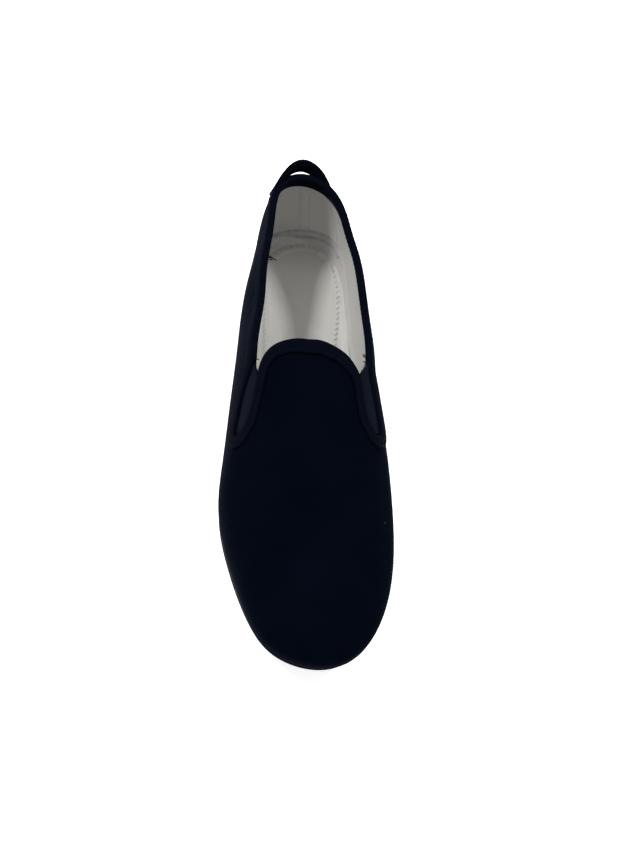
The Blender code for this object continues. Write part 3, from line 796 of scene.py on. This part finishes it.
def crease_depth(points):
    """How far the soft creases sink at each corner."""
    depth = np.zeros(len(points))
    for start, end, width, deep in CREASES:
        start = np.array(start)
        run = np.array(end) - start
        share = np.clip((points - start) @ run / (run @ run), 0, 1)
        away = np.linalg.norm(points - start - share[:, None] * run, axis=1)
        fade = smooth(0, 0.3, share) * smooth(0, 0.3, 1 - share)
        depth += deep * fade * bell(away, 0, width)
    return depth


def waves_beside(points, line, pitch, reach):
    """Small gathers beside a seam: strongest at its line and gone at a distance from it."""
    line, tree = line_tree(line)
    travel = travel_along(line)
    found = [tree.find(place) for place in points]
    far = np.array([f[2] for f in found])
    along = travel[[f[1] for f in found]]
    phase = 2 * math.pi * along / pitch + 1.3 * np.sin(along / pitch * 1.7)
    return np.exp(-far / reach) * (0.55 + 0.45 * np.cos(phase))


def near_line(points, line, reach):
    """1 at a closed line, falling softly to 0 at a distance from it."""
    _, tree = line_tree(line)
    far = np.array([tree.find(place)[2] for place in points])
    return smooth(reach, 0, far)


def make_outer_cloth(material, tape_line):
    """The cloth that shows from outside, drawn in a little along its seams."""
    points, faces = face_groups("upper")[0]
    feather = lowest_rim(points, faces)
    piece = piece_from("outer_cloth", points, faces)
    subdivided(piece, 2)
    places, normals = coordinates(piece)
    sink = crease_depth(places)
    sink += PUCKER_DEPTH * waves_beside(places, tape_line, PUCKER_PITCH, PUCKER_REACH)
    sink += EDGE_GATHER * waves_beside(places, feather, EDGE_PITCH, EDGE_REACH)
    set_points(piece, places - normals * sink[:, None])
    thicken(piece, CLOTH_THICKNESS, -1)
    return finish_piece(piece, material, "upper", "upper")


def make_lining(material):
    """The lining of the vamp and the quarters."""
    points, faces = face_groups("upper")[1]
    piece = piece_from("lining", points, faces)
    subdivided(piece, 2)
    places, normals = coordinates(piece)
    soft = LINING_WAVES * np.sin(places[:, 1] * 210) * np.sin(places[:, 2] * 160 + places[:, 1] * 90)
    feather = lowest_rim(points, faces)
    shy = LINING_SHY * near_line(places, feather, LINING_SHY_REACH)
    places += normals * (soft + 0.5 * shy)[:, None]
    places[:, 2] += shy
    set_points(piece, places)
    tree = surface_tree(piece)
    thicken(piece, LINING_THICKNESS, -1)
    # Painted shade around the back of the heel
    paint(piece, "painted_shade", lining_painted_shade(piece))
    finish_piece(piece, material, "lining", "upper")
    return tree


def lining_painted_shade(piece):
    """How much painted shade darkens the lining at each corner of a piece: most around the back of the
    heel.
    """
    places, _ = coordinates(piece)
    low = smooth(0.034, 0.016, places[:, 2]) * smooth(0.012, 0.026, places[:, 1])
    back = smooth(-0.004, 0.020, places[:, 1])
    high = smooth(0.030, 0.062, places[:, 2]) * smooth(0.010, 0.026, places[:, 1])
    return 0.14 * low + 0.14 * back + 0.08 * high


def band_edge(v):
    """Dips the long edges of a seam's band under the lining."""
    return -0.00025 * smooth(0.0032, LINE_HALF, np.abs(v))


def double_height(v, u):
    """A sewn seam with a low row on each side of it."""
    ridge = 0.00030 * bell(v, 0, 0.0016) + 0.00016 * bell(np.abs(v), 0.0032, 0.0006)
    return ridge + band_edge(v) * 2


def double_painted_shade(v, u):
    """Painted shade of two broken rows in the grooves beside the middle ridge, and a fainter painted
    shade between them.
    """
    broken = 0.75 + 0.25 * np.sin(u * 900 + 2 * np.sin(u * 310))
    lines = 0.28 * bell(v, -0.0024, 0.0011) + 0.31 * bell(v, 0.0024, 0.0013)
    lines *= smooth(0.0, 0.006, u) * smooth(u.max(), u.max() - 0.012, u)
    return lines * broken + 0.11 * smooth(0.0042, 0.0020, np.abs(v))


def flat_height(v, u):
    """A seam pressed flat."""
    return 0.00014 * smooth(0.0034, 0.0024, np.abs(v)) + band_edge(v)


def flat_painted_shade(v, u):
    """Painted shade of a row on each side of the flat seam, where it steps down to the lining."""
    broken = 0.55 + 0.45 * np.sin(u * 420 + 3 * np.sin(u * 150))
    return 0.12 * bell(np.abs(v), 0.0027, 0.0009) * broken


def fold_height(v, u):
    """One soft fold."""
    return 0.00030 * bell(v, 0, 0.0010) + band_edge(v)


def fold_painted_shade(v, u):
    """Painted shade in the furrow beside the fold."""
    return 0.16 * bell(v, 0.0006, 0.0009)


def three_height(v, u):
    """Three small folds side by side."""
    ridges = sum(bell(v, middle, 0.0005) for middle in (-0.0018, 0, 0.0018))
    return 0.00036 * ridges + band_edge(v)


def three_painted_shade(v, u):
    """Painted shade in the furrows between the three folds."""
    return 0.20 * sum(bell(v, middle, 0.0005) for middle in (-0.0009, 0.0009, 0.0026))


def make_lining_seams(material, tree):
    """Seams and folds that stand out of the lining a little, with painted shade in their furrows."""
    offsets = np.linspace(-LINE_HALF, LINE_HALF, LINE_COLUMNS)
    for name, path, pitch, height, painted_shade in (
        ("heel_seam", HEEL_LINES, LINE_PITCH, double_height, double_painted_shade),
        ("back_seam", BACK_SEAM, LINE_PITCH, flat_height, flat_painted_shade),
        ("heel_fold", HEEL_FOLD, LINE_PITCH, fold_height, fold_painted_shade),
        ("side_folds", SIDE_LINES, SIDE_PITCH, three_height, three_painted_shade),
    ):
        piece, v, u = strip(name, tree, smooth_path(path, pitch), offsets, height)
        # Painted shade of the seam or fold, added to the lining's painted shade at the heel
        paint(piece, "painted_shade", painted_shade(v, u) + lining_painted_shade(piece))
        thicken(piece, SEAM_THICKNESS, -1)
        finish_piece(piece, material, "lining", "upper")


def side_curve(side):
    """Sideways place along one side of an outline, as a function of Y."""
    side = side[np.argsort(side[:, 1])]
    return lambda y: np.interp(y, side[:, 1], side[:, 0])


def sides_of(rim):
    """Sideways place of a closed outline as functions of Y: outer side, inner side, and its ends."""
    back, front = rim[:, 1].argmax(), rim[:, 1].argmin()
    turned = np.roll(rim, -back, axis=0)
    split = (front - back) % len(rim)
    first, second = turned[:split + 1], np.vstack([turned[split:], turned[:1]])
    outer, inner = sorted((first, second), key=lambda part: part[:, 0].mean())
    return side_curve(outer), side_curve(inner), rim[front, 1], rim[back, 1]


def plan_grid(rim, rows, columns, reach):
    """Sideways and lengthwise places of a grid that fills an outline, grown by a reach."""
    outer, inner, front, back = sides_of(rim)
    t = (1 - np.cos(np.linspace(0.02, math.pi - 0.02, rows))) / 2
    y = front + (back - front) * t
    v = np.sin(np.linspace(-math.pi / 2, math.pi / 2, columns)) / 2 + 0.5
    low, high = outer(y) - reach, inner(y) + reach
    more = np.maximum(LEAST_ROW - (high - low), 0) / 2
    low, high = low - more, high + more
    x = low[:, None] + (high - low)[:, None] * v[None]
    stretch = (back - front + 2 * reach) / (back - front)
    middle = (back + front) / 2
    y = middle + (y - middle) * stretch
    return x.ravel(), np.repeat(y, columns)


def heights_at(tree, x, y, start, way, about):
    """Heights where upright rays meet a surface, or those of its places nearest to a height."""
    heights = []
    for px, py in zip(x, y):
        hit = tree.ray_cast(Vector((px, py, start)), Vector((0, 0, way)))[0]
        if hit is None:
            hit = tree.find_nearest(Vector((px, py, about)))[0]
        heights.append(hit.z)
    return np.array(heights)


def turn_faces(piece, upward):
    """Makes the faces of a sheet look up, or else down."""
    middle = piece.data.polygons[len(piece.data.polygons) // 2]
    if (middle.normal.z > 0) != upward:
        piece.data.flip_normals()


def rim_distance(rim, x, y):
    """Distance in plan from places to a closed outline."""
    _, tree = line_tree(rim, flat=True)
    return np.array([tree.find((a, b, 0))[2] for a, b in zip(x, y)])


def make_insole(material):
    """Cotton insole, coved up to the lining round its edge."""
    groups = face_groups("insole")[:2]
    points, faces = max(groups, key=lambda group: np.mean([p[2] for p in group[0]]))
    rim = rims(points, faces)[0]
    tree = tree_of(points, faces)
    x, y = plan_grid(rim, INSOLE_ROWS, INSOLE_COLUMNS, INSOLE_REACH)
    z = heights_at(tree, x, y, 0.05, -1, 0.012)
    outer, inner, front, back = sides_of(rim)
    out = (x < outer(y)) | (x > inner(y)) | (y < front) | (y > back)
    away = rim_distance(rim, x, y) * np.where(out, -1, 1)
    inside = np.clip(COVE - away - COVE_START, 0, COVE * 0.985)
    rise = COVE - np.sqrt(COVE ** 2 - inside ** 2)
    soft = 0.00022 * np.sin(y * 130 + 1.0) * np.cos(x * 95) * smooth(0, 0.008, away)
    places = np.column_stack([x, y, z + rise + soft])
    piece = piece_from("insole_sock", places, grid_faces(INSOLE_ROWS, INSOLE_COLUMNS))
    turn_faces(piece, True)
    found = surface_tree(piece)
    thicken(piece, INSOLE_THICKNESS, -1)
    places, _ = coordinates(piece)
    # Painted shade toward the heel end of the insole
    heel = smooth(0.004, 0.026, places[:, 1])
    paint(piece, "painted_shade", 0.16 * heel)
    finish_piece(piece, material, "lining", "insole")
    return found


def seam_dents_and_shadows(v, u):
    """1 in the slanted pinch under each stitch of the insole's seam, falling to 0 around it: the dent of
    the pinch, and the painted shadow under the stitch.
    """
    phase = ((u / SEAM_PITCH) % 1 - 0.5) * SEAM_PITCH + 0.0004
    return bell(v * 0.85 + phase * 0.53, 0, 0.00042) * bell(phase * 0.85 - v * 0.53, 0, 0.0013)


def seam_height(v, u):
    """Relief of the insole's seam."""
    ridge = 0.00040 * bell(v, 0, 0.0010) + 0.00012 * bell(v, 0.0021, 0.0006)
    return ridge - 0.00030 * seam_dents_and_shadows(v, u) - 0.00035 * smooth(0.0036, SEAM_HALF, np.abs(v))


def make_insole_seam(material, tree, path):
    """The band of the seam that joins the lining to the insole, with a faint pencil line beside it, and
    painted shade.
    """
    offsets = np.linspace(-SEAM_HALF, SEAM_HALF, SEAM_COLUMNS)
    piece, v, u = strip("insole_seam", tree, path, offsets, seam_height)
    places, _ = coordinates(piece)
    heel = smooth(0.006, 0.020, places[:, 1])
    mark = bell(v, MARK_OFFSET, 0.00055) * smooth(MARK_RUN[0], MARK_RUN[0] + 0.008, u)
    mark *= smooth(MARK_RUN[1], MARK_RUN[1] - 0.012, u)
    painted_seam_shade = (0.05 + 0.27 * heel) * bell(v, 0, 0.0020)
    uneven = 0.7 + 0.3 * np.sin(u * 330 + 2 * np.sin(u * 140))
    # Painted shadows under the stitches, and painted shade along the seam that deepens toward the heel
    paint(piece, "painted_shade", (0.34 - 0.16 * heel) * uneven * seam_dents_and_shadows(v, u) + painted_seam_shade)
    paint(piece, "pink", 0.26 * mark)
    thicken(piece, SEAM_THICKNESS, -1)
    finish_piece(piece, material, "lining", "insole")


def make_insole_stitches(material, tree, path):
    """Slanted stitches over the insole's seam."""
    travel = travel_along(path)
    spots, normals = on_surface(tree, path)
    side = unit(np.cross(normals, run_of(path)))
    share = np.linspace(-1, 1, STITCH_STEPS)
    arch = 0.00052 - 0.00042 * share ** 2
    paths = []
    for number in range(1, int(travel[-1] / SEAM_PITCH)):
        marks = (number - 0.5) * SEAM_PITCH + 0.0006 + share * 0.0007
        left = read_at(marks, travel, side) * (share * 0.00115)[:, None]
        above = read_at(marks, travel, normals) * arch[:, None]
        paths.append(read_at(marks, travel, spots) - left + above)
    piece = threads("insole_stitches", paths, INSOLE_STITCH_RADIUS)
    finish_piece(piece, material, "lining", "insole")


def copy_of(name, node, levels):
    """A finer copy of a whole node."""
    bm = open_mesh(node)
    mesh = bpy.data.meshes.new(name)
    bm.to_mesh(mesh)
    bm.free()
    piece = bpy.data.objects.new(name, mesh)
    bpy.context.scene.collection.objects.link(piece)
    square_faces(piece)
    subdivided(piece, levels)
    return piece


def make_taped(name, node, levels, fuller, material):
    """A tape made from its node, and fuller by what the smoothing takes off it."""
    piece = copy_of(name, node, levels)
    places, normals = coordinates(piece)
    set_points(piece, places + fuller * normals)
    return finish_piece(piece, material, "tape", node)


def draw_in(piece, middle, ends):
    """Moves the pull loop in toward the heel, by one amount at its middle and one at its ends."""
    places, _ = coordinates(piece)
    along = np.abs(places[:, 0]) / np.abs(places[:, 0]).max()
    amount = middle + (ends - middle) * smooth(0.25, 0.85, along)
    away = unit(places[:, :2] - (0, LOOP_CENTRE))
    places[:, :2] -= away * amount[:, None]
    set_points(piece, places)


def make_stitches(material, tree, line, inset, name):
    """A row of stitches along the tape, beside one of its edges."""
    closed = even(np.vstack([line, line[:1]]), 0.0006)[:-1]
    row, normal = beside(tree, closed, inset)
    row = np.vstack([row, row[:1]])
    normal = np.vstack([normal, normal[:1]])
    travel = travel_along(row)
    count = round(travel[-1] / STITCH_PITCH)
    pitch = travel[-1] / count
    share = np.linspace(-1, 1, STITCH_STEPS)
    lift = 0.00010 - 0.00016 * share ** 4
    paths = []
    for number in range(count):
        marks = (number + 0.5) * pitch + share * STITCH_LENGTH / 2
        paths.append(read_at(marks, travel, row) + read_at(marks, travel, normal) * lift[:, None])
    piece = threads(name, paths, STITCH_RADIUS)
    return finish_piece(piece, material, "tape", "binding")


def make_elastic(name, node, material):
    """Elastic panel with ribs along its length."""
    piece = copy_of(name, node, 3)
    places, normals = coordinates(piece)
    centre = places.mean(axis=0)
    _, _, axes = np.linalg.svd(places - centre, full_matrices=False)
    facing = np.abs(normals @ axes[2])
    across = (places - centre) @ axes[1]
    rib = 0.5 + 0.5 * np.cos(2 * math.pi * across / RIB_PITCH)
    lift = RIB_HEIGHT * (rib - 0.5) * smooth(0.5, 0.9, facing)
    set_points(piece, places + normals * lift[:, None])
    paint(piece, "rib", 0.8 * rib)
    return finish_piece(piece, material, "elastic", node)


def make_sole_body(material):
    """Moulded sole with its grooved side, its underside drawn in under the skin of the tread."""
    piece = copy_of("outsole_body", "outsole", 2)
    places, normals = coordinates(piece)
    under = smooth(0.5, 0.9, -normals[:, 2]) * (places[:, 2] < SOLE_UNDERSIDE)
    places[:, 2] += TREAD_THICKNESS / 2 * under
    set_points(piece, places)
    finish_piece(piece, material, "sole", "outsole")


def ripples(rim, x, y, z):
    """How far the fine ripples of the tread rise at some places of its underside."""
    sway = RIPPLE_SWAY * np.sin(2 * math.pi * x / RIPPLE_SWAY_PITCH)
    wave = 0.5 + 0.5 * np.cos(2 * math.pi * (y + sway) / RIPPLE_PITCH)
    inside = rim_distance(rim, x, y)
    area = smooth(RIPPLE_BORDER - 0.0035, RIPPLE_BORDER - 0.0020, inside) * (z < RIPPLE_CEILING)
    return RIPPLE_DEPTH * smooth(0.45, 0.8, wave) * area


def make_tread(material):
    """The rippled skin of the sole's underside."""
    rim = lowest_rim(*face_groups("upper")[0])
    whole = open_mesh("outsole")
    tree = BVHTree.FromBMesh(whole)
    whole.free()
    x, y = plan_grid(rim, TREAD_ROWS, TREAD_COLUMNS, -TREAD_INSET)
    z = heights_at(tree, x, y, -0.02, 1, 0)
    z = z + ripples(rim, x, y, z)
    piece = piece_from("outsole_tread", np.column_stack([x, y, z]), grid_faces(TREAD_ROWS, TREAD_COLUMNS))
    turn_faces(piece, False)
    thicken(piece, TREAD_THICKNESS, -1)
    finish_piece(piece, material, "sole", "outsole")


def hair(start, way, bend, length):
    """Path of a short loose fibre that leaves a place and curls."""
    t = np.linspace(0, 1, 9)[:, None]
    way = unit(np.array(way, float))
    bend = unit(np.array(bend, float))
    return np.array(start) + length * (way * t + bend * 0.35 * t ** 2)


def make_loose_ends(material):
    """Thread ends at the rim, and dark specks at the heel."""
    piece = threads("rim_thread_ends", [hair(*row) for row in RIM_ENDS], RIM_END_RADIUS)
    finish_piece(piece, material, "tape", "binding")
    piece = threads("heel_specks", [hair(*row) for row in SPECKS], SPECK_RADIUS)
    finish_piece(piece, material, "lining", "upper")


def make_frays(name, node, side, material):
    """Short fibres along the top of an elastic."""
    mesh = open_mesh(node)
    points = np.array([v.co for v in mesh.verts])
    mesh.free()
    top = points[points[:, 2] > points[:, 2].max() - FRAY_BAND]
    top = top[np.argsort(-(top[:, 2] + 0.45 * top[:, 1]))][:FRAY_CORNERS]
    start, end = top[top[:, 1].argmax()], top[top[:, 1].argmin()]
    frays = []
    for i in range(FRAYS):
        place = start + (end - start) * (i + 0.5) / FRAYS
        lean = 0.5 * math.sin(i * 2.4)
        length = 0.0007 + 0.0006 * (0.5 + 0.5 * math.sin(i * 1.7))
        way = (-0.10 * side, 0.55 + 0.25 * lean, 0.75)
        frays.append(hair(place, way, (lean, 0.1, 0.2), length))
    piece = threads(name, frays, FRAY_RADIUS)
    finish_piece(piece, material, "elastic", node)


def make_lint(material):
    """Pale fibres that lie on the vamp."""
    cloth = surface_tree(bpy.data.objects["outer_cloth"])
    spots, normals = on_surface(cloth, [row[0] for row in LINT])
    fibres = []
    for (_, way, length), spot, normal in zip(LINT, spots, normals):
        way = unit(np.array(way) - normal * np.dot(way, normal))
        t = np.linspace(-0.5, 0.5, 7)[:, None]
        curl = np.cross(normal, way) * 0.5 * t ** 2
        fibres.append(spot + normal * 0.00016 + length * (way * t + curl))
    piece = threads("lint", fibres, LINT_RADIUS)
    finish_piece(piece, material, "upper", "upper")


def aim(thing, place, target):
    """Puts a light at a place and turns it to a target."""
    thing.location = place
    thing.rotation_euler = (Vector(target) - Vector(place)).to_track_quat("-Z", "Y").to_euler()


def make_camera():
    """The photograph's view: down at the toe, rolled to the right."""
    data = bpy.data.cameras.new("camera")
    data.sensor_fit = "VERTICAL"
    data.sensor_height = SENSOR
    data.lens = FOCAL_PIXELS / FRAME_HEIGHT * SENSOR
    camera = bpy.data.objects.new("camera", data)
    bpy.context.scene.collection.objects.link(camera)
    back = Vector((
        math.sin(CAMERA_AZIMUTH) * math.cos(CAMERA_ELEVATION),
        -math.cos(CAMERA_AZIMUTH) * math.cos(CAMERA_ELEVATION),
        math.sin(CAMERA_ELEVATION),
    ))
    right = Vector((math.cos(CAMERA_AZIMUTH), math.sin(CAMERA_AZIMUTH), 0))
    up = back.cross(right)
    turned_right = right * math.cos(CAMERA_ROLL) + up * math.sin(CAMERA_ROLL)
    turned_up = up * math.cos(CAMERA_ROLL) - right * math.sin(CAMERA_ROLL)
    turn = Matrix((turned_right, turned_up, back)).transposed().to_4x4()
    camera.matrix_world = Matrix.Translation(CAMERA_TARGET + back * CAMERA_DISTANCE) @ turn
    bpy.context.scene.camera = camera


def make_light():
    """Two soft lights from behind, one on each side, and an even sky."""
    for name, place, size, power in LIGHTS:
        data = bpy.data.lights.new(name, "AREA")
        data.size = size
        data.energy = power
        light = bpy.data.objects.new(name, data)
        bpy.context.scene.collection.objects.link(light)
        aim(light, place, (0, -0.06, 0.02))
    world = bpy.data.worlds.new("sky")
    world.use_nodes = True
    sky = world.node_tree.nodes["Background"]
    sky.inputs["Color"].default_value = (1, 1, 1, 1)
    sky.inputs["Strength"].default_value = WORLD_STRENGTH
    bpy.context.scene.world = world


def make_floor():
    """A plain pale floor under the sole."""
    half = FLOOR_SIZE / 2
    corners = [(-half, -half, 0), (half, -half, 0), (half, half, 0), (-half, half, 0)]
    floor = piece_from("floor", corners, [(0, 1, 2, 3)])
    floor.data.materials.append(pale_floor())


def main():
    """Makes the whole scene."""
    bpy.context.scene.view_settings.view_transform = "Standard"
    make_camera()
    make_light()
    make_floor()
    cloth = navy_cloth()
    tape = navy_tape()
    lining = white_lining()
    elastic = dark_elastic()
    dark = navy_thread()
    tape_tree, outer_line, inner_line = tape_edge()
    make_outer_cloth(cloth, outer_line)
    lining_tree = make_lining(lining)
    make_lining_seams(lining, lining_tree)
    insole_tree = make_insole(lining)
    seam_path = smooth_path(SEAM_PATH, SEAM_STEP)
    make_insole_seam(lining, insole_tree, seam_path)
    make_insole_stitches(white_thread(), insole_tree, seam_path)
    make_taped("edge_tape", "binding", 2, TAPE_FULLER, tape)
    make_stitches(dark, tape_tree, outer_line, OUTER_INSET, "outer_stitches")
    make_stitches(dark, tape_tree, inner_line, INNER_INSET, "inner_stitches")
    make_elastic("elastic_medial", "gore_medial", elastic)
    make_elastic("elastic_lateral", "gore_lateral", elastic)
    draw_in(make_taped("pull_loop", "heel_loop", 3, LOOP_FULLER, tape), *LOOP_DRAW)
    rubber = dark_rubber()
    make_sole_body(rubber)
    make_tread(rubber)
    make_loose_ends(dark)
    make_frays("frays_medial", "gore_medial", 1, dark)
    make_frays("frays_lateral", "gore_lateral", -1, dark)
    make_lint(pale_lint())


main()
